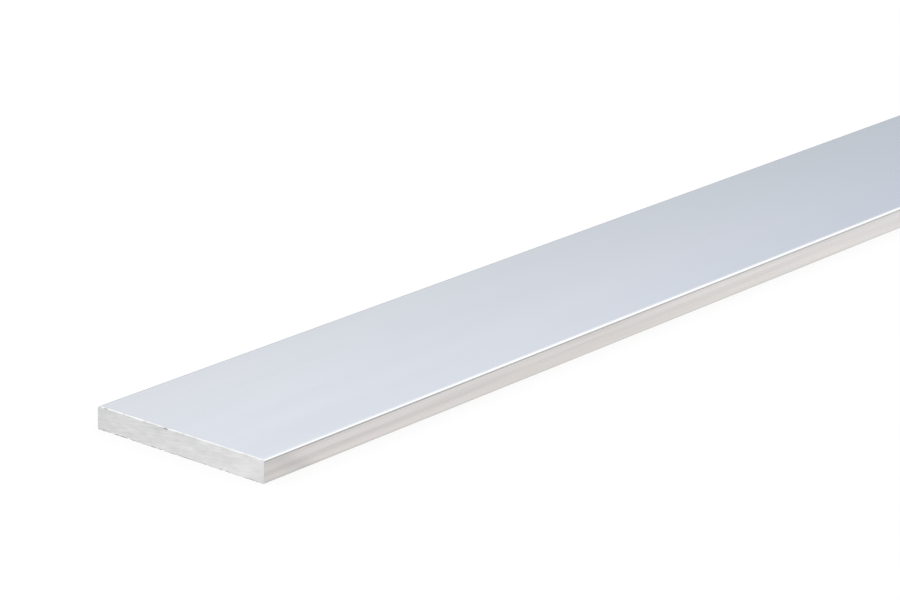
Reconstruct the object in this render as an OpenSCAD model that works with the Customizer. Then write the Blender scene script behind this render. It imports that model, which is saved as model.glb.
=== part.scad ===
// Aluminium cover strip: a flat extruded bar, sawn square to a stock length.
// It lies on its back face, long axis along X, width along Y, face side up.

/* [Stock] */
// Length that the strip is cut to
strip_length = 1000; // [100:10:3000]
// Width of the strip across its face
strip_width = 18; // [8:0.5:60]
// Thickness of the strip
strip_thickness = 2; // [1.5:0.1:6]

/* [Edges] */
// Radius that the extrusion die leaves on the two long edges of the face
face_radius = 0.3; // [0.1:0.05:0.5]
// Radius that it leaves on the two long edges of the back
back_radius = 0.1; // [0.05:0.05:0.5]
// Width of the bevel left where the sawn ends were deburred
deburr = 0.1; // [0.05:0.01:0.25]

/* [Hidden] */

// Facets of a full turn of the long-edge rounding
edge_fn = 64;
// How far a cutting shape runs past what it cuts
overrun = 1;
// Height of the middle of the section above the back face
mid_height = strip_thickness / 2;

// Material outside the rounding of one corner, with the corner at the origin
// and the section lying towards -X and -Y
module corner_waste(r) {
    difference() {
        translate([-r, -r]) square(r + overrun);
        translate([-r, -r]) circle(r = r, $fn = edge_fn);
    }
}

// Extruded section: width along X, thickness along Y, centred, face up
module strip_section(width, thickness, r_face, r_back) {
    difference() {
        square([width, thickness], center = true);
        for (across = [0, 1]) {
            mirror([across, 0])
                translate([width / 2, thickness / 2])
                    corner_waste(r_face);
            mirror([across, 0])
                mirror([0, 1])
                    translate([width / 2, thickness / 2])
                        corner_waste(r_back);
        }
    }
}

// Bar as it leaves the die, along X and centred
module extruded_bar(length, width, thickness, r_face, r_back) {
    rotate([90, 0, 90])
        linear_extrude(height = length, center = true)
            strip_section(width, thickness, r_face, r_back);
}

// Rectangle with its four corners cut at 45 degrees, centred
module bevelled_rectangle(length, height, bevel) {
    x = length / 2;
    y = height / 2;
    polygon([
        [x, y - bevel], [x - bevel, y], [bevel - x, y], [-x, y - bevel],
        [-x, bevel - y], [bevel - x, -y], [x - bevel, -y], [x, bevel - y]
    ]);
}

// Everything inside the bevels of the two sawn ends
module deburred_ends(length, width, thickness, bevel) {
    intersection() {
        rotate([90, 0, 0])
            linear_extrude(height = width + 2 * overrun, center = true)
                bevelled_rectangle(length, thickness, bevel);
        linear_extrude(height = thickness + 2 * overrun, center = true)
            bevelled_rectangle(length, width, bevel);
    }
}

module cover_strip() {
    color([0.80, 0.82, 0.86])
        translate([0, 0, mid_height])
            intersection() {
                extruded_bar(strip_length, strip_width, strip_thickness, face_radius, back_radius);
                deburred_ends(strip_length, strip_width, strip_thickness, deburr);
            }
}

cover_strip();
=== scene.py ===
"""Looks of the aluminium cover strip: its metal, its finishes, the studio and the camera."""

from __future__ import annotations

import logging
import math
from collections.abc import Callable, Iterator
from contextlib import contextmanager
from dataclasses import dataclass, field
from enum import Enum
from functools import partial

import bmesh
import bpy
from mathutils import Matrix, Vector

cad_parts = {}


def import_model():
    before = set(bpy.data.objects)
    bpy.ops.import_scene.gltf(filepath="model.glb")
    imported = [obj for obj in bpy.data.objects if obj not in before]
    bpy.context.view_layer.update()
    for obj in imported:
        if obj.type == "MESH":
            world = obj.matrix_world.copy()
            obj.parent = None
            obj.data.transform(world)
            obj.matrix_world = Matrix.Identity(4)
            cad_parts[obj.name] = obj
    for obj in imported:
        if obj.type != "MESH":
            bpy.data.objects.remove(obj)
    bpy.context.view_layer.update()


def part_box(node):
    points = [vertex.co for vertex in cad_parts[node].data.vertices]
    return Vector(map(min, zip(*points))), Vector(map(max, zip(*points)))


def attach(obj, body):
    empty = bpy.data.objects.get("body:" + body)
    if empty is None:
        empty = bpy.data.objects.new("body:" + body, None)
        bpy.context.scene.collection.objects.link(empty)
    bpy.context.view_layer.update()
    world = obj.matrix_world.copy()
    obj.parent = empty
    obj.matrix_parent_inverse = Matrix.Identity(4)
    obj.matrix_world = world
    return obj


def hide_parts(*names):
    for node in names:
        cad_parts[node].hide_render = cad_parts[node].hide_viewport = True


LOG = logging.getLogger("cover_strip")
MM = 0.001
STRIP_NODE = "cover_strip"
ROOT_BODY = "root"
WHITE = "#FFFFFF"

# Places from 0 to 1, in rising order, with the sRGB hex colour at each
Stops = tuple[tuple[float, str], ...]

# A Mix node's sockets go by number, because their names repeat for each kind of value
MIX_FIRST, MIX_SECOND = 2, 3
MIX_BELOW, MIX_ABOVE, MIX_COLOUR = 6, 7, 2
MIX_COLOURS = {"data_type": "RGBA"}
MIX_AS_TINT = {"data_type": "RGBA", "blend_type": "MULTIPLY"}
# The value that noise lies round
MID_NOISE = 0.5


class Surface(Enum):
    """Surfaces of the strip, numbered as its material slots."""

    FACE = 0
    EDGE = 1
    SAWN = 2
    TORN = 3


class End(Enum):
    """The two sawn ends, by the way that they face along X."""

    NEAR = -1
    FAR = 1


class Rim(Enum):
    """The two long rims of an end, by the side of the mid-plane that they lie on."""

    TOP = 1
    BOTTOM = -1


def linear(colour: str) -> tuple[float, float, float, float]:
    """Turns an sRGB hex colour to linear RGBA.

    Args:
        colour: The colour, such as "#C0C0C0".

    Returns:
        Red, green, blue and an alpha of 1.
    """
    parts = [int(colour[i : i + 2], 16) / 255 for i in (1, 3, 5)]
    red, green, blue = (c / 12.92 if c <= 0.04045 else ((c + 0.055) / 1.055) ** 2.4 for c in parts)
    return red, green, blue, 1.0


def add_node(
    tree: bpy.types.NodeTree,
    kind: str,
    settings: dict[str, object] | None = None,
    inputs: dict[str | int, object] | None = None,
    stops: Stops = (),
) -> bpy.types.Node:
    """Adds a node to a tree, with its settings and links.

    Args:
        tree: The node tree.
        kind: The node's type name.
        settings: Properties to set on the node.
        inputs: A value, or a socket to link from, for each named or numbered input.
        stops: The colours of a ramp, two or more.

    Returns:
        The new node.
    """
    node = tree.nodes.new(kind)
    for name, value in (settings or {}).items():
        setattr(node, name, value)
    for key, value in (inputs or {}).items():
        if isinstance(value, bpy.types.NodeSocket):
            tree.links.new(value, node.inputs[key])
        else:
            node.inputs[key].default_value = value
    for number, (place, colour) in enumerate(stops):
        elements = node.color_ramp.elements
        # A new ramp has its first two stops already
        stop = elements[number] if number < 2 else elements.new(place)
        stop.position = place
        stop.color = linear(colour)
    return node


def new_tree(owner: bpy.types.Material | bpy.types.World) -> bpy.types.NodeTree:
    """Switches a material or world to nodes and empties its tree.

    Args:
        owner: The material or world.

    Returns:
        The empty tree.
    """
    owner.use_nodes = True
    owner.node_tree.nodes.clear()
    return owner.node_tree


def draw_grain(
    tree: bpy.types.NodeTree, place: bpy.types.NodeSocket, grain: Vector, detail: float
) -> bpy.types.NodeSocket:
    """Draws a cloudy pattern whose grain has its own size along each axis.

    Args:
        tree: The node tree.
        place: Object coordinates.
        grain: Size of the grain along X, Y and Z, in metres.
        detail: Octaves of finer grain.

    Returns:
        The pattern, around MID_NOISE.
    """
    scale = tuple(1 / size for size in grain)
    mapped = add_node(tree, "ShaderNodeMapping", inputs={"Vector": place, "Scale": scale})
    noise = add_node(
        tree, "ShaderNodeTexNoise", inputs={"Vector": mapped.outputs[0], "Scale": 1.0, "Detail": detail}
    )
    return noise.outputs[0]


def finish_metal(
    tree: bpy.types.NodeTree,
    colour: bpy.types.NodeSocket,
    roughness: bpy.types.NodeSocket | float,
    relief: bpy.types.NodeSocket,
    depth: float,
) -> None:
    """Ends a material's tree as metal.

    Args:
        tree: The material's tree.
        colour: The metal's colour.
        roughness: Its roughness.
        relief: The pattern of its finest relief.
        depth: Depth of that relief, in metres.
    """
    bump = add_node(tree, "ShaderNodeBump", inputs={"Distance": depth, "Height": relief})
    shader = add_node(
        tree,
        "ShaderNodeBsdfPrincipled",
        inputs={
            "Base Color": colour,
            "Metallic": 1.0,
            "Roughness": roughness,
            "Normal": bump.outputs[0],
        },
    )
    add_node(tree, "ShaderNodeOutputMaterial", inputs={"Surface": shader.outputs[0]})


@dataclass(frozen=True)
class SatinAnodised:
    """Natural anodised aluminium on an extruded surface.

    The die leaves lines along the bar, caustic etching softens them and a clear film of oxide
    covers them: a cool silver with a satin gloss, in bands that run on for centimetres.
    """

    name: str
    light: str
    dark: str
    gloss: tuple[float, float]
    band: Vector
    line: Vector
    line_height: float
    # Streaks that keep their place along the whole bar, with painted light in the same ramp: the axis
    # across them, and the tint at each share of the way over the bar on it
    streak_and_light_axis: str
    streaks_and_painted_light: Stops
    # Share of the lines in the pattern, against the bands
    line_share: float = 0.3
    # How far from its middle the pattern takes the whole colour, light or dark
    contrast: float = 0.15

    def make(self, low: Vector, high: Vector) -> bpy.types.Material:
        """Builds the material.

        Args:
            low: The bar's lowest corner.
            high: The bar's highest corner.

        Returns:
            The material.
        """
        material = bpy.data.materials.new(self.name)
        tree = new_tree(material)
        place = add_node(tree, "ShaderNodeTexCoord").outputs["Object"]
        bands = draw_grain(tree, place, self.band, detail=2.0)
        lines = draw_grain(tree, place, self.line, detail=1.0)
        both = add_node(
            tree, "ShaderNodeMix", inputs={0: self.line_share, MIX_FIRST: bands, MIX_SECOND: lines}
        ).outputs[0]
        first, last = MID_NOISE - self.contrast, MID_NOISE + self.contrast
        metal = add_node(
            tree,
            "ShaderNodeValToRGB",
            inputs={"Fac": both},
            stops=((first, self.dark), (last, self.light)),
        )
        across = add_node(tree, "ShaderNodeSeparateXYZ", inputs={"Vector": place})
        number = "XYZ".index(self.streak_and_light_axis)
        share = add_node(
            tree,
            "ShaderNodeMapRange",
            inputs={"Value": across.outputs[number], "From Min": low[number], "From Max": high[number]},
        )
        # This ramp carries the die streaks and painted light: painted shade and a painted dark reflection
        # on the edges, a painted reflection tint on the face
        streak_and_light = add_node(
            tree, "ShaderNodeValToRGB", inputs={"Fac": share.outputs[0]}, stops=self.streaks_and_painted_light
        )
        colour = add_node(
            tree,
            "ShaderNodeMix",
            MIX_AS_TINT,
            {0: 1.0, MIX_BELOW: metal.outputs[0], MIX_ABOVE: streak_and_light.outputs[0]},
        ).outputs[MIX_COLOUR]
        shiny, dull = self.gloss
        roughness = add_node(
            tree,
            "ShaderNodeMapRange",
            inputs={"Value": both, "From Min": first, "From Max": last, "To Min": dull, "To Max": shiny},
        ).outputs[0]
        finish_metal(tree, colour, roughness, lines, self.line_height)
        return material


@dataclass(frozen=True)
class ColdSawn:
    """Bare aluminium as a cold saw leaves it.

    Fine scores run across the end, over clouds where the blade's bite changed: a neutral silver,
    duller than the anodised faces. A thin ragged band along the lower rim is darkened with painted
    shade, where the end meets the floor, ragged like the saw's torn rim. A real saw's scores are finer
    than a pixel of the picture, which spans about 0.1 mm here, so they are drawn coarser, 0.14 mm apart.
    """

    name: str = "cold_sawn_aluminium_and_rim_shade"
    light: str = "#F0F0F0"
    dark: str = "#DEDEDE"
    roughness: float = 0.42
    score: Vector = field(default_factory=lambda: Vector((1.0, 2.2 * MM, 0.14 * MM)))
    bite: Vector = field(default_factory=lambda: Vector((1.0, 1.0 * MM, 0.45 * MM)))
    score_tilt: float = math.radians(9)
    score_height: float = 0.003 * MM
    # Share of the clouds in the pattern, against the scores
    bite_share: float = 0.5
    # How far from its middle the pattern takes the whole colour, light or dark
    contrast: float = 0.15
    # Painted shade in a ragged band along the lower rim, where the end meets the floor: its colour, height,
    # grain, raggedness and fade
    lip_shade: str = "#ACACAC"
    lip_shade_height: float = 0.06 * MM
    lip_shade_tooth: Vector = field(default_factory=lambda: Vector((1.0, 0.35 * MM, 0.3 * MM)))
    lip_shade_raggedness: float = 3.0
    # Where the painted rim shade begins to fade and where it is gone, as shares of its height
    lip_shade_fade: tuple[float, float] = (0.2, 1.0)

    def make(self) -> bpy.types.Material:
        """Builds the material.

        Returns:
            The material.
        """
        material = bpy.data.materials.new(self.name)
        tree = new_tree(material)
        place = add_node(tree, "ShaderNodeTexCoord").outputs["Object"]
        turned = add_node(
            tree, "ShaderNodeMapping", inputs={"Vector": place, "Rotation": (self.score_tilt, 0.0, 0.0)}
        )
        scores = draw_grain(tree, turned.outputs[0], self.score, detail=3.0)
        bites = draw_grain(tree, place, self.bite, detail=3.0)
        both = add_node(
            tree, "ShaderNodeMix", inputs={0: self.bite_share, MIX_FIRST: scores, MIX_SECOND: bites}
        ).outputs[0]
        metal = add_node(
            tree,
            "ShaderNodeValToRGB",
            inputs={"Fac": both},
            stops=((MID_NOISE - self.contrast, self.dark), (MID_NOISE + self.contrast, self.light)),
        )
        # The metal is tinted by the painted shade along the lower rim
        colour = add_node(
            tree,
            "ShaderNodeMix",
            MIX_AS_TINT,
            {0: 1.0, MIX_BELOW: metal.outputs[0], MIX_ABOVE: self._paint_lip_shade(tree, place)},
        ).outputs[MIX_COLOUR]
        finish_metal(tree, colour, self.roughness, scores, self.score_height)
        return material

    def _paint_lip_shade(self, tree: bpy.types.NodeTree, place: bpy.types.NodeSocket) -> bpy.types.NodeSocket:
        """Paints the ragged band of shade along the lower rim, where the end meets the floor.

        Args:
            tree: The material's tree.
            place: Object coordinates.

        Returns:
            The painted shade, white where there is none.
        """
        height = add_node(tree, "ShaderNodeSeparateXYZ", inputs={"Vector": place}).outputs["Z"]
        share = add_node(
            tree, "ShaderNodeMath", {"operation": "DIVIDE"}, {0: height, 1: self.lip_shade_height}
        )
        teeth = draw_grain(tree, place, self.lip_shade_tooth, detail=2.0)
        ragged = add_node(
            tree,
            "ShaderNodeMath",
            {"operation": "MULTIPLY_ADD"},
            {0: teeth, 1: self.lip_shade_raggedness, 2: share.outputs[0]},
        )
        even = add_node(
            tree,
            "ShaderNodeMath",
            {"operation": "SUBTRACT"},
            {0: ragged.outputs[0], 1: self.lip_shade_raggedness * MID_NOISE},
        )
        whole, gone = self.lip_shade_fade
        shade = add_node(
            tree,
            "ShaderNodeValToRGB",
            inputs={"Fac": even.outputs[0]},
            stops=((whole, self.lip_shade), (gone, WHITE)),
        )
        return shade.outputs[0]


# The broad faces are the most even: faint clouds mark them, and a faint painted reflection tint
# runs across them, cooler at the -Y edge and warmer at the +Y edge. A real die's lines are finer
# than a pixel of the picture, so they are drawn coarser, 0.3 mm apart here and 0.25 mm apart on the edges.
FACE_FINISH_AND_REFLECTION_TINT = SatinAnodised(
    name="satin_anodised_face_and_painted_tint",
    light="#E6EAF0",
    dark="#E4E8EF",
    gloss=(0.165, 0.18),
    band=Vector((24 * MM, 3.2 * MM, 3.2 * MM)),
    line=Vector((40 * MM, 0.3 * MM, 0.3 * MM)),
    line_height=0.0001 * MM,
    streak_and_light_axis="Y",
    # Painted reflection tint: cooler at the -Y edge, warmer at the +Y edge
    streaks_and_painted_light=((0.0, "#FCFDFE"), (0.3, WHITE), (1.0, "#FFFFFB")),
)
# On the narrow edges the die wears first, so streaks keep one height along the whole bar. The
# darker foot of the ramp is painted shade where the edge meets the floor, and the darker line just
# below the top rounding is a painted dark reflection under the highlight.
EDGE_FINISH_AND_SHADE = SatinAnodised(
    name="satin_anodised_edge_and_painted_shade",
    light="#FFFFFF",
    dark="#F4F4F3",
    gloss=(0.20, 0.28),
    band=Vector((22 * MM, 0.6 * MM, 0.6 * MM)),
    line=Vector((45 * MM, 0.25 * MM, 0.25 * MM)),
    line_height=0.0004 * MM,
    streak_and_light_axis="Z",
    streaks_and_painted_light=(
        # Painted shade at the foot, where the edge meets the floor
        (0.00, "#CDC9C6"),
        (0.04, "#DAD6D3"),
        (0.09, "#EBE7E4"),
        (0.17, "#ECE8E5"),
        (0.25, "#EAE6E3"),
        (0.33, "#E5E1DE"),
        (0.44, "#E2DEDB"),
        (0.52, "#E4E0DD"),
        (0.60, "#E7E3E2"),
        (0.74, "#E8E4E3"),
        (0.82, "#E4E0DF"),
        (0.86, "#E4E2E0"),
        # Painted dark reflection just below the top rounding's highlight
        (0.91, "#DEDEDD"),
        (0.95, "#ECECED"),
    ),
)
# The ends look cut after anodising, so they show the grey of the metal itself, scored and matt, with
# painted shade along the lower rim.
SAWN_FINISH_AND_RIM_SHADE = ColdSawn()
# Where the blade tore the metal out, the hollow is rough; its dark greys are painted shade for the hollow.
TORN_SHADE_FINISH = ColdSawn(
    name="torn_aluminium_painted_shade",
    # Dark greys: painted shade in the torn hollow
    light="#C0C0C0",
    dark="#969696",
    roughness=0.6,
    score=Vector((0.05 * MM, 0.08 * MM, 0.08 * MM)),
)


def select_only(obj: bpy.types.Object) -> None:
    """Makes one object the only selected one, and the active one.

    Args:
        obj: The object.
    """
    bpy.ops.object.select_all(action="DESELECT")
    obj.select_set(True)
    bpy.context.view_layer.objects.active = obj


@contextmanager
def editing(obj: bpy.types.Object) -> Iterator[None]:
    """Holds an object in edit mode, with all of its mesh selected at first.

    Args:
        obj: The object.

    Yields:
        Nothing; the object leaves edit mode at the end of the block.
    """
    select_only(obj)
    bpy.ops.object.mode_set(mode="EDIT")
    bpy.ops.mesh.select_all(action="SELECT")
    yield
    bpy.ops.object.mode_set(mode="OBJECT")


def select_vertices(obj: bpy.types.Object, wanted: Callable[[Vector], bool]) -> None:
    """Selects the vertices whose place passes a test, in edit mode.

    Args:
        obj: The object being edited.
        wanted: Says whether the vertex at a place is wanted.
    """
    bpy.ops.mesh.select_mode(type="VERT")
    bpy.ops.mesh.select_all(action="DESELECT")
    mesh = bmesh.from_edit_mesh(obj.data)
    for vertex in mesh.verts:
        vertex.select_set(wanted(vertex.co))
    mesh.select_flush_mode()
    bmesh.update_edit_mesh(obj.data)


def select_faces(obj: bpy.types.Object, wanted: Callable[[Vector], bool]) -> None:
    """Selects the faces whose centre passes a test, in edit mode.

    Args:
        obj: The object being edited.
        wanted: Says whether the face centred at a place is wanted.
    """
    bpy.ops.mesh.select_mode(type="FACE")
    bpy.ops.mesh.select_all(action="DESELECT")
    mesh = bmesh.from_edit_mesh(obj.data)
    for face in mesh.faces:
        face.select_set(wanted(face.calc_center_median()))
    mesh.select_flush_mode()
    bmesh.update_edit_mesh(obj.data)


def is_within(centre: Vector, reach: Vector, place: Vector) -> bool:
    """Says whether a place is in a box.

    Args:
        centre: The box's middle.
        reach: Its half sizes.
        place: The place.

    Returns:
        True if the place is in the box.
    """
    return all(abs(away) < half for away, half in zip(place - centre, reach))


@dataclass(frozen=True)
class Tear:
    """A place on a sawn rim where the blade tore the metal, all in millimetres.

    Its place is the distance from the rim's end on the +Y side.
    """

    place: float
    length: float
    depth: float


@dataclass
class ExtrudedStrip:
    """The strip's metal: one extruded section with two sawn ends."""

    low: Vector
    high: Vector
    face_radius: float = 0.3 * MM
    face_segments: int = 8
    back_radius: float = 0.1 * MM
    back_segments: int = 4
    cell: float = 0.06 * MM
    # Distance at which a cut keeps to a vertex that is there already
    snap: float = 0.0012 * MM
    bevel_depth: float = 0.06 * MM
    top_bevel: float = 0.052 * MM
    bottom_bevel: float = 0.008 * MM
    side_bevel: float = 0.008 * MM
    # Places of the cross cuts behind each end, close together where the metal is torn
    cuts: tuple[float, ...] = tuple(v * MM for v in (0.14, 0.2, 0.3, 0.45, 0.8, 2.0, 8.0, 60.0))
    die_line_width: float = 0.35 * MM
    die_line_height: float = 0.001 * MM
    # Length of a die line in lengths of the bar, so that it hardly changes from end to end
    die_line_run: float = 100.0
    saw_mark: Vector = field(default_factory=lambda: Vector((1.0 * MM, 2.0 * MM, 0.2 * MM)))
    saw_mark_height: float = 0.008 * MM
    # Octaves of finer marks in the pressed relief
    relief_detail: int = 3
    # Tears below the top rim and along the bottom rim
    top_tears: tuple[Tear, ...] = (
        Tear(0.9, 0.40, 0.05),
        Tear(3.0, 0.25, 0.04),
        Tear(5.2, 0.30, 0.03),
        Tear(7.1, 0.30, 0.04),
        Tear(7.5, 0.45, 0.072),
        Tear(9.4, 0.20, 0.045),
        Tear(10.6, 0.15, 0.045),
        Tear(16.1, 0.25, 0.03),
    )
    bottom_tears: tuple[Tear, ...] = (
        Tear(1.6, 0.20, 0.04),
        Tear(3.4, 0.30, 0.04),
        Tear(7.2, 0.25, 0.05),
        Tear(8.8, 0.10, 0.03),
        Tear(12.1, 0.15, 0.04),
        Tear(13.8, 0.20, 0.06),
        Tear(15.6, 0.30, 0.04),
        Tear(17.0, 0.15, 0.05),
    )
    tear_reach: float = 0.09 * MM
    # Half heights, in cells, of what a tear grips and of the rough metal, painted dark as shade, that it
    # bares
    tear_grip: float = 0.7
    shaded_tear_patch: float = 0.6
    # Depth in millimetres from which a tear below the top rim bares rough metal, painted dark as shade in
    # the hollow
    rough_shaded_tear: float = 0.05
    # How far the edge's finish comes up the rounding, as a share of the face radius
    edge_finish_share: float = 0.2
    # How far the sawn finish goes in, as a share of the bevels' depth
    sawn_finish_share: float = 0.9
    # Angle up to which the rounding is shaded smooth
    smooth_angle: float = math.radians(30)
    length: float = field(init=False)
    width: float = field(init=False)
    thickness: float = field(init=False)
    middle: Vector = field(init=False)

    def __post_init__(self) -> None:
        """Works out the strip's sizes from the frame."""
        self.length, self.width, self.thickness = self.high - self.low
        self.middle = (self.low + self.high) / 2

    def build(self) -> bpy.types.Object:
        """Models the strip, its relief and its finishes.

        Returns:
            The finished piece.
        """
        strip = self._cut_section()
        self._draw_out(strip)
        self._press_die_lines(strip)
        for end in End:
            self._score_end(strip, end)
            self._tear_rims(strip, end)
        self._dress(strip)
        return strip

    def _cut_section(self) -> bpy.types.Object:
        """Makes the rounded section at the near end, cut into square cells.

        Returns:
            The strip's object, flat as yet.
        """
        bpy.ops.object.select_all(action="DESELECT")
        foot = (self.low.x, self.middle.y, self.middle.z)
        bpy.ops.mesh.primitive_plane_add(size=1.0, location=foot, rotation=(0.0, math.radians(-90), 0.0))
        strip = bpy.context.active_object
        strip.name = "cover_strip_metal"
        strip.data.name = strip.name
        bpy.ops.object.transform_apply()
        with editing(strip):
            bpy.ops.transform.resize(value=(1.0, self.width, self.thickness), center_override=foot)
            select_vertices(strip, lambda place: place.z > self.middle.z)
            bpy.ops.mesh.bevel(offset=self.face_radius, segments=self.face_segments, affect="VERTICES")
            select_vertices(strip, lambda place: place.z < self.middle.z)
            bpy.ops.mesh.bevel(offset=self.back_radius, segments=self.back_segments, affect="VERTICES")
            for axis, size in ((Vector((0, 0, 1)), self.thickness), (Vector((0, 1, 0)), self.width)):
                count = round(size / self.cell)
                for step in range(1, count):
                    bpy.ops.mesh.select_all(action="SELECT")
                    bpy.ops.mesh.bisect(
                        plane_co=self.low + axis * (size * step / count),
                        plane_no=axis,
                        threshold=self.snap,
                    )
        return strip

    def _draw_out(self, strip: bpy.types.Object) -> None:
        """Extrudes the section along the bar and bevels the rims of both ends.

        Args:
            strip: The strip, a flat section as yet.
        """
        behind = (self.bevel_depth, *self.cuts)
        stations = (*behind, *(self.length - cut for cut in reversed(behind)), self.length)
        across = (self.width - 2 * self.side_bevel) / self.width
        upward = (self.thickness - self.top_bevel - self.bottom_bevel) / self.thickness
        # The point that the section shrinks towards, where the two bevels' depths balance
        keep = self.bottom_bevel / (self.top_bevel + self.bottom_bevel) * self.thickness
        pivot = Vector((self.low.x, self.middle.y, self.low.z + keep))
        reached = 0.0
        with editing(strip):
            bpy.ops.transform.resize(value=(1.0, across, upward), center_override=pivot)
            for station in stations:
                step = (station - reached, 0.0, 0.0)
                bpy.ops.mesh.extrude_region_move(TRANSFORM_OT_translate={"value": step})
                reached = station
                if station == stations[0]:
                    bpy.ops.transform.resize(value=(1.0, 1 / across, 1 / upward), center_override=pivot)
            bpy.ops.transform.resize(value=(1.0, across, upward), center_override=pivot)
            bpy.ops.mesh.select_all(action="SELECT")
            bpy.ops.mesh.normals_make_consistent(inside=False)

    def _end_plane(self, end: End) -> float:
        """Finds where an end's face lies along X.

        Args:
            end: The end.

        Returns:
            Its place, in metres.
        """
        return self.low.x if end is End.NEAR else self.high.x

    def _press(
        self,
        strip: bpy.types.Object,
        wanted: Callable[[Vector], bool],
        grain: Vector,
        tilt: float,
        height: float,
    ) -> None:
        """Presses a cloudy pattern into a part of the strip, inwards only.

        Args:
            strip: The strip.
            wanted: Says whether the vertex at a place is pressed.
            grain: Size of the pattern along X, Y and Z, in metres.
            tilt: Turn of the pattern about X, in radians.
            height: Depth of the relief, in metres.
        """
        with editing(strip):
            select_vertices(strip, wanted)
            bpy.ops.object.vertex_group_assign_new()
        pattern = bpy.data.textures.new("relief", "CLOUDS")
        pattern.noise_scale = 1.0
        pattern.noise_depth = self.relief_detail
        bpy.ops.object.empty_add(location=self.middle, rotation=(tilt, 0.0, 0.0))
        guide = bpy.context.active_object
        guide.scale = grain
        select_only(strip)
        bpy.ops.object.modifier_add(type="DISPLACE")
        relief = strip.modifiers[-1]
        relief.texture = pattern
        relief.texture_coords = "OBJECT"
        relief.texture_coords_object = guide
        relief.vertex_group = strip.vertex_groups[-1].name
        relief.mid_level = 1.0
        relief.strength = height
        bpy.context.view_layer.update()
        bpy.ops.object.modifier_apply(modifier=relief.name)
        bpy.data.objects.remove(guide)
        bpy.data.textures.remove(pattern)
        strip.vertex_groups.clear()

    def _press_die_lines(self, strip: bpy.types.Object) -> None:
        """Draws the die's lines along the whole bar.

        Args:
            strip: The strip.
        """
        run = self.die_line_run * self.length
        grain = Vector((run, self.die_line_width, self.die_line_width))
        near, far = self.low.x + self.bevel_depth / 2, self.high.x - self.bevel_depth / 2
        self._press(strip, lambda place: near < place.x < far, grain, 0.0, self.die_line_height)

    def _score_end(self, strip: bpy.types.Object, end: End) -> None:
        """Scores one sawn end.

        Args:
            strip: The strip.
            end: The end.
        """
        plane, reach = self._end_plane(end), self.bevel_depth / 2
        tilt = SAWN_FINISH_AND_RIM_SHADE.score_tilt * end.value
        self._press(
            strip, lambda place: abs(place.x - plane) < reach, self.saw_mark, tilt, self.saw_mark_height
        )

    def _tear_rims(self, strip: bpy.types.Object, end: End) -> None:
        """Pushes the metal in at each torn place of one end.

        The far end, which went through the same saw the other way round, has its tears mirrored.

        Args:
            strip: The strip.
            end: The end.
        """
        with editing(strip):
            for rim, tears in ((Rim.TOP, self.top_tears), (Rim.BOTTOM, self.bottom_tears)):
                for tear in tears:
                    centre = self._tear_centre(end, rim, tear)
                    box = Vector((self.bevel_depth / 2, tear.length * MM / 2, self.cell * self.tear_grip))
                    select_vertices(strip, partial(is_within, centre, box))
                    bpy.ops.transform.translate(
                        value=(-end.value * tear.depth * MM, 0.0, -rim.value * tear.depth * MM / 2),
                        use_proportional_edit=True,
                        proportional_edit_falloff="SMOOTH",
                        proportional_size=self.tear_reach,
                    )

    def _tear_centre(self, end: End, rim: Rim, tear: Tear) -> Vector:
        """Works out where a tear lies.

        Args:
            end: The end that it is on.
            rim: The rim that it is on.
            tear: The tear.

        Returns:
            Its middle, on the plane of the end.
        """
        across = self.middle.y - end.value * (self.width / 2 - tear.place * MM)
        if rim is Rim.TOP:
            height = self.high.z - self.top_bevel - self.cell
        else:
            height = self.low.z + self.bottom_bevel
        return Vector((self._end_plane(end), across, height))

    def _dress(self, strip: bpy.types.Object) -> None:
        """Gives each surface its finish and smooths the rounded edges.

        Args:
            strip: The strip.
        """
        finishes = {
            Surface.FACE: FACE_FINISH_AND_REFLECTION_TINT.make(self.low, self.high),
            Surface.EDGE: EDGE_FINISH_AND_SHADE.make(self.low, self.high),
            Surface.SAWN: SAWN_FINISH_AND_RIM_SHADE.make(),
            Surface.TORN: TORN_SHADE_FINISH.make(),
        }
        for material in finishes.values():
            strip.data.materials.append(material)
        side = self.width / 2 - self.face_radius * self.edge_finish_share
        inner = self.width / 2 - self.side_bevel
        sawn = self.bevel_depth * self.sawn_finish_share

        def on_end(place: Vector) -> bool:
            """Says whether a place is on a sawn end, inside its upright arrises.

            Args:
                place: The place.

            Returns:
                True if it is.
            """
            behind = min(place.x - self.low.x, self.high.x - place.x)
            return behind < sawn and abs(place.y - self.middle.y) < inner

        def in_shaded_tear(place: Vector) -> bool:
            """Says whether a place is in a deep tear below a top rim, whose metal gets the painted shade.

            Args:
                place: The place.

            Returns:
                True if it is.
            """
            return any(
                is_within(
                    self._tear_centre(end, Rim.TOP, tear),
                    Vector((self.bevel_depth, tear.length * MM / 2, self.cell * self.shaded_tear_patch)),
                    place,
                )
                for end in End
                for tear in self.top_tears
                if tear.depth >= self.rough_shaded_tear
            )

        tests = {
            Surface.FACE: lambda place: True,
            Surface.EDGE: lambda place: abs(place.y - self.middle.y) > side,
            Surface.SAWN: on_end,
            Surface.TORN: in_shaded_tear,
        }
        with editing(strip):
            for surface, test in tests.items():
                select_faces(strip, test)
                strip.active_material_index = surface.value
                bpy.ops.object.material_slot_assign()
        bpy.ops.object.shade_smooth_by_angle(angle=self.smooth_angle)


@dataclass(frozen=True)
class SoftBox:
    """A soft box: its direction in degrees, its distance and size in metres, and its brightness.

    The azimuth runs from +X towards +Y. The brightness is added to the surround's, which is 1.
    """

    name: str
    azimuth: float
    elevation: float
    distance: float
    width: float
    height: float
    radiance: float
    colour: str


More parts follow.
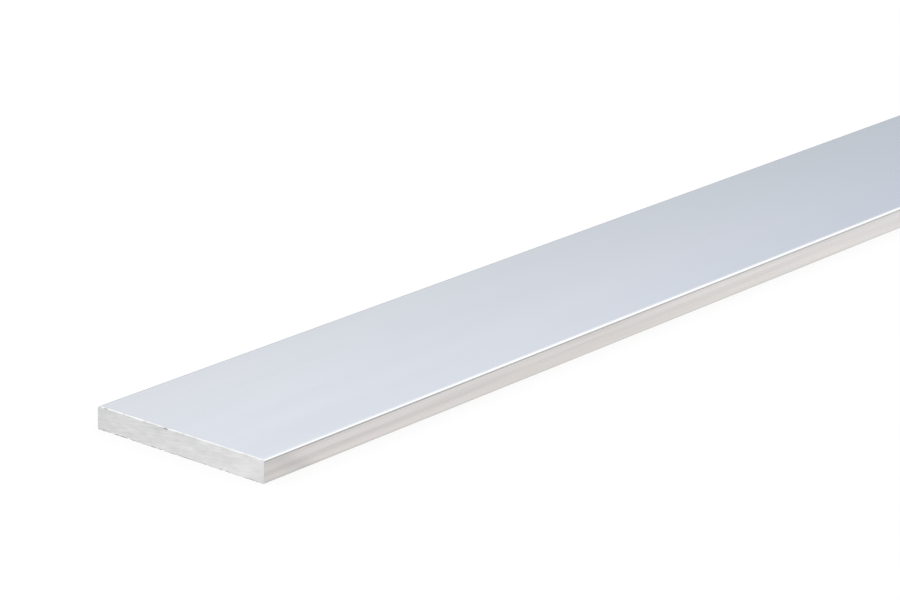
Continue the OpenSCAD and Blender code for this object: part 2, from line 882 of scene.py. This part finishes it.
@dataclass
class Studio:
    """Pale floor, white surround, graded reflectors and two soft boxes."""

    low: Vector
    high: Vector
    soft_boxes: tuple[SoftBox, ...] = (
        SoftBox("key_soft_box", -16.0, 38.0, 2.2, 1.2, 0.65, 0.42, "#FFF4EA"),
        SoftBox("rim_soft_box", 117.0, 46.0, 2.0, 0.9, 0.7, 0.85, WHITE),
    )
    floor_size: float = 60.0
    floor_glow: float = 0.82
    floor_colour: str = "#777777"
    ring_radius: float = 5.0
    ring_sides: int = 96
    ring_top: float = math.radians(27)
    # Colour of the reflector ring at heights above the horizon, in degrees, as metal mirrors it
    ring_colours: Stops = (
        (0.0, "#BEBEC0"),
        (9.0, "#C6C8CC"),
        (14.0, "#B0B7C1"),
        (16.5, "#B8BFC9"),
        (18.5, "#D7DAE3"),
        (20.8, "#FBFBFE"),
        (27.0, "#FFFFFF"),
    )
    # The same on the -Y side, where the near long edge mirrors the ring
    edge_ring_colours: Stops = (
        (0.0, "#C8C7C6"),
        (9.0, "#CECDCC"),
        (14.0, "#D4D3D3"),
        (18.5, "#E6E6E7"),
        (20.8, "#F8F8FA"),
        (27.0, "#FFFFFF"),
    )
    # Tint of the ring on that side, by the share of a stretch of Y, in metres
    ring_shade_reach: tuple[float, float] = (-3.64, -2.9)
    ring_shade: Stops = (
        (0.0, "#C8C8C8"),
        (0.08, "#CECECE"),
        (0.25, "#D4D4D4"),
        (0.365, "#E0E0E0"),
        (0.51, "#F0F0F0"),
        (0.7, WHITE),
    )
    # The cards lie on the floor along the near long edge and the near end, a hair off both: how far
    # each runs from the strip, and the side card's two ends from the strip's near end
    card_width: float = 40 * MM
    card_gap: float = 0.02 * MM
    side_card_reach: tuple[float, float] = (-4 * MM, 130 * MM)
    # Their colours, by the share of the way along X and along Y
    side_card_colours: Stops = (
        (0.0, "#DCDCDC"),
        (0.05, "#E8E8E8"),
        (0.066, "#DEDEDE"),
        (0.082, "#F0EFF0"),
        (0.18, "#F3F2F3"),
        (0.28, "#F3F3F3"),
        (0.38, "#F1F1F1"),
        (0.50, "#F7F7F7"),
        (0.80, "#FBFDFF"),
    )
    end_card_colours: Stops = (
        (0.0, "#F2F2F2"),
        (0.05, "#FDFDFD"),
        (0.12, "#FAFAFA"),
        (0.2, "#F4F4F4"),
        (0.27, "#F1F1F1"),
        (0.5, "#EFEFEF"),
        (1.0, "#DADADA"),
    )
    # Distance from the near end to the point that the lamps face
    lamp_aim: float = 40 * MM

    def build(self) -> None:
        """Sets up the surround, the floor, the reflectors and the lamps."""
        self._surround()
        self._floor()
        self._ring()
        front = self.low.x
        start, end = self.side_card_reach
        self._card(
            "side_card",
            Vector((front + start, self.low.y - self.card_width, self.card_gap)),
            Vector((front + end, self.low.y - self.card_gap, self.card_gap)),
            "X",
            self.side_card_colours,
        )
        self._card(
            "end_card",
            Vector((front - self.card_width, self.low.y, self.card_gap)),
            Vector((front - self.card_gap, self.high.y + self.card_width, self.card_gap)),
            "Y",
            self.end_card_colours,
        )
        for box in self.soft_boxes:
            self._hang(box)

    @staticmethod
    def _surround() -> None:
        """Lights everything evenly with plain white."""
        world = bpy.data.worlds.new("studio_white")
        bpy.context.scene.world = world
        tree = new_tree(world)
        sky = add_node(tree, "ShaderNodeBackground", inputs={"Color": linear(WHITE), "Strength": 1.0})
        add_node(tree, "ShaderNodeOutputWorld", inputs={"Surface": sky.outputs[0]})

    def _floor(self) -> None:
        """Lays the floor: white to the eye and in the metal, with a faint soft shadow."""
        bpy.ops.object.select_all(action="DESELECT")
        bpy.ops.mesh.primitive_plane_add(size=self.floor_size)
        floor = bpy.context.active_object
        floor.name = "studio_floor"
        material = bpy.data.materials.new("white_floor")
        tree = new_tree(material)
        path = add_node(tree, "ShaderNodeLightPath")
        seen = path.outputs["Is Camera Ray"]
        for kind in ("Is Glossy Ray", "Is Transmission Ray"):
            rays = {0: seen, 1: path.outputs[kind]}
            seen = add_node(tree, "ShaderNodeMath", {"operation": "MAXIMUM"}, rays).outputs[0]
        glow = add_node(
            tree, "ShaderNodeMath", {"operation": "MULTIPLY"}, {0: seen, 1: self.floor_glow}
        )
        paint = add_node(tree, "ShaderNodeBsdfDiffuse", inputs={"Color": linear(self.floor_colour)})
        light = add_node(
            tree, "ShaderNodeEmission", inputs={"Color": linear(WHITE), "Strength": glow.outputs[0]}
        )
        both = add_node(tree, "ShaderNodeAddShader", inputs={0: paint.outputs[0], 1: light.outputs[0]})
        add_node(tree, "ShaderNodeOutputMaterial", inputs={"Surface": both.outputs[0]})
        floor.data.materials.append(material)

    @staticmethod
    def _light_up(tree: bpy.types.NodeTree, colour: bpy.types.NodeSocket) -> None:
        """Ends a reflector's tree, so that it gives off its own colour.

        Args:
            tree: The material's tree.
            colour: The colour.
        """
        glow = add_node(tree, "ShaderNodeEmission", inputs={"Color": colour, "Strength": 1.0})
        add_node(tree, "ShaderNodeOutputMaterial", inputs={"Surface": glow.outputs[0]})

    @staticmethod
    def _mirrored_only(obj: bpy.types.Object) -> None:
        """Keeps a reflector out of all but the reflections in the metal.

        Args:
            obj: The reflector.
        """
        obj.visible_camera = False
        obj.visible_diffuse = False
        obj.visible_shadow = False

    def _ring(self) -> None:
        """Stands the graded ring round the set."""
        top = self.ring_radius * math.tan(self.ring_top)
        bpy.ops.object.select_all(action="DESELECT")
        bpy.ops.mesh.primitive_cylinder_add(
            vertices=self.ring_sides,
            radius=self.ring_radius,
            depth=top,
            end_fill_type="NOTHING",
            location=(0.0, 0.0, top / 2),
        )
        ring = bpy.context.active_object
        ring.name = "reflector_ring"
        bpy.ops.object.transform_apply()
        material = bpy.data.materials.new("graded_card")
        tree = new_tree(material)
        place = add_node(tree, "ShaderNodeTexCoord").outputs["Object"]
        axes = add_node(tree, "ShaderNodeSeparateXYZ", inputs={"Vector": place}).outputs
        share = add_node(tree, "ShaderNodeMath", {"operation": "DIVIDE"}, {0: axes["Z"], 1: top})
        by_side = []
        for colours in (self.ring_colours, self.edge_ring_colours):
            stops = tuple(
                (math.tan(math.radians(degrees)) * self.ring_radius / top, colour)
                for degrees, colour in colours
            )
            ramp = add_node(tree, "ShaderNodeValToRGB", inputs={"Fac": share.outputs[0]}, stops=stops)
            by_side.append(ramp.outputs[0])
        far_side, edge_side = by_side
        first, last = self.ring_shade_reach
        along = add_node(
            tree,
            "ShaderNodeMapRange",
            inputs={"Value": axes["Y"], "From Min": first, "From Max": last},
        )
        tint = add_node(
            tree, "ShaderNodeValToRGB", inputs={"Fac": along.outputs[0]}, stops=self.ring_shade
        )
        shaded = add_node(
            tree, "ShaderNodeMix", MIX_AS_TINT, {0: 1.0, MIX_BELOW: edge_side, MIX_ABOVE: tint.outputs[0]}
        ).outputs[MIX_COLOUR]
        near = add_node(tree, "ShaderNodeMath", {"operation": "LESS_THAN"}, {0: axes["Y"], 1: 0.0})
        colour = add_node(
            tree,
            "ShaderNodeMix",
            MIX_COLOURS,
            {0: near.outputs[0], MIX_BELOW: far_side, MIX_ABOVE: shaded},
        )
        self._light_up(tree, colour.outputs[MIX_COLOUR])
        ring.data.materials.append(material)
        self._mirrored_only(ring)

    def _card(self, name: str, low: Vector, high: Vector, axis: str, stops: Stops) -> None:
        """Lays a graded card on the floor beside the strip.

        Args:
            name: The card's name.
            low: Its lowest corner.
            high: Its highest corner.
            axis: The axis that its colour changes along.
            stops: The colours, by the share of the way along that axis.
        """
        middle, size = (low + high) / 2, high - low
        bpy.ops.object.select_all(action="DESELECT")
        bpy.ops.mesh.primitive_plane_add(size=1.0, location=middle)
        card = bpy.context.active_object
        card.name = name
        card.scale = (size.x, size.y, 1.0)
        bpy.ops.object.transform_apply()
        material = bpy.data.materials.new(name)
        tree = new_tree(material)
        place = add_node(tree, "ShaderNodeTexCoord").outputs["Object"]
        along = add_node(tree, "ShaderNodeSeparateXYZ", inputs={"Vector": place}).outputs[axis]
        number = "XYZ".index(axis)
        share = add_node(
            tree,
            "ShaderNodeMapRange",
            inputs={"Value": along, "From Min": low[number], "From Max": high[number]},
        )
        colour = add_node(tree, "ShaderNodeValToRGB", inputs={"Fac": share.outputs[0]}, stops=stops)
        self._light_up(tree, colour.outputs[0])
        card.data.materials.append(material)
        self._mirrored_only(card)

    def _hang(self, box: SoftBox) -> None:
        """Hangs a soft box that faces the strip's near end.

        Args:
            box: The soft box.
        """
        turn, lift = math.radians(box.azimuth), math.radians(box.elevation)
        towards = Vector((math.cos(turn) * math.cos(lift), math.sin(turn) * math.cos(lift), math.sin(lift)))
        target = Vector((self.low.x + self.lamp_aim, (self.low.y + self.high.y) / 2, self.high.z))
        bpy.ops.object.light_add(type="AREA", location=target + towards * box.distance)
        lamp = bpy.context.active_object
        lamp.name = box.name
        lamp.rotation_euler = towards.to_track_quat("Z", "Y").to_euler()
        lamp.data.shape = "RECTANGLE"
        lamp.data.size, lamp.data.size_y = box.width, box.height
        lamp.data.color = linear(box.colour)[:3]
        lamp.data.energy = box.radiance * math.pi * box.width * box.height
        lamp.visible_camera = False


@dataclass(frozen=True)
class ProductCamera:
    """Camera at the photograph's place, close over the near end."""

    lens_mm: float = 150.3
    sensor_mm: float = 36.0
    distance: float = 324.7 * MM
    azimuth: float = math.radians(50.24)
    elevation: float = math.radians(18.7)
    roll: float = math.radians(0.78)
    aim_along: float = 38.87 * MM
    aim_across: float = 5.02 * MM
    clip_start: float = 0.01
    clip_end: float = 200.0

    def place(self, low: Vector, high: Vector) -> None:
        """Adds the camera, aimed at a point on the face near the strip's near end.

        Args:
            low: The strip's lowest corner.
            high: The strip's highest corner.
        """
        ahead = Vector((math.sin(self.azimuth), math.cos(self.azimuth), 0.0))
        level = Vector((math.cos(self.azimuth), -math.sin(self.azimuth), 0.0))
        forward = ahead * math.cos(self.elevation) - Vector((0.0, 0.0, math.sin(self.elevation)))
        right = level * math.cos(self.roll) + level.cross(forward) * math.sin(self.roll)
        top = right.cross(forward)
        aim = Vector((low.x + self.aim_along, (low.y + high.y) / 2 + self.aim_across, high.z))
        data = bpy.data.cameras.new("product_camera")
        data.lens = self.lens_mm
        data.sensor_width = self.sensor_mm
        data.clip_start = self.clip_start
        data.clip_end = self.clip_end
        camera = bpy.data.objects.new("product_camera", data)
        bpy.context.scene.collection.objects.link(camera)
        turn = Matrix((right, top, -forward)).transposed().to_4x4()
        camera.matrix_world = Matrix.Translation(aim - forward * self.distance) @ turn
        bpy.context.scene.camera = camera


def main() -> None:
    """Builds the camera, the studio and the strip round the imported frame."""
    logging.basicConfig(level=logging.INFO, format="%(name)s: %(message)s")
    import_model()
    low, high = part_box(STRIP_NODE)
    bpy.context.scene.view_settings.view_transform = "Standard"
    ProductCamera().place(low, high)
    Studio(low, high).build()
    strip = ExtrudedStrip(low, high).build()
    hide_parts(STRIP_NODE)
    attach(strip, ROOT_BODY)
    LOG.info("%s: %d faces, replaces %s", strip.name, len(strip.data.polygons), STRIP_NODE)


if __name__ == "__main__":
    main()
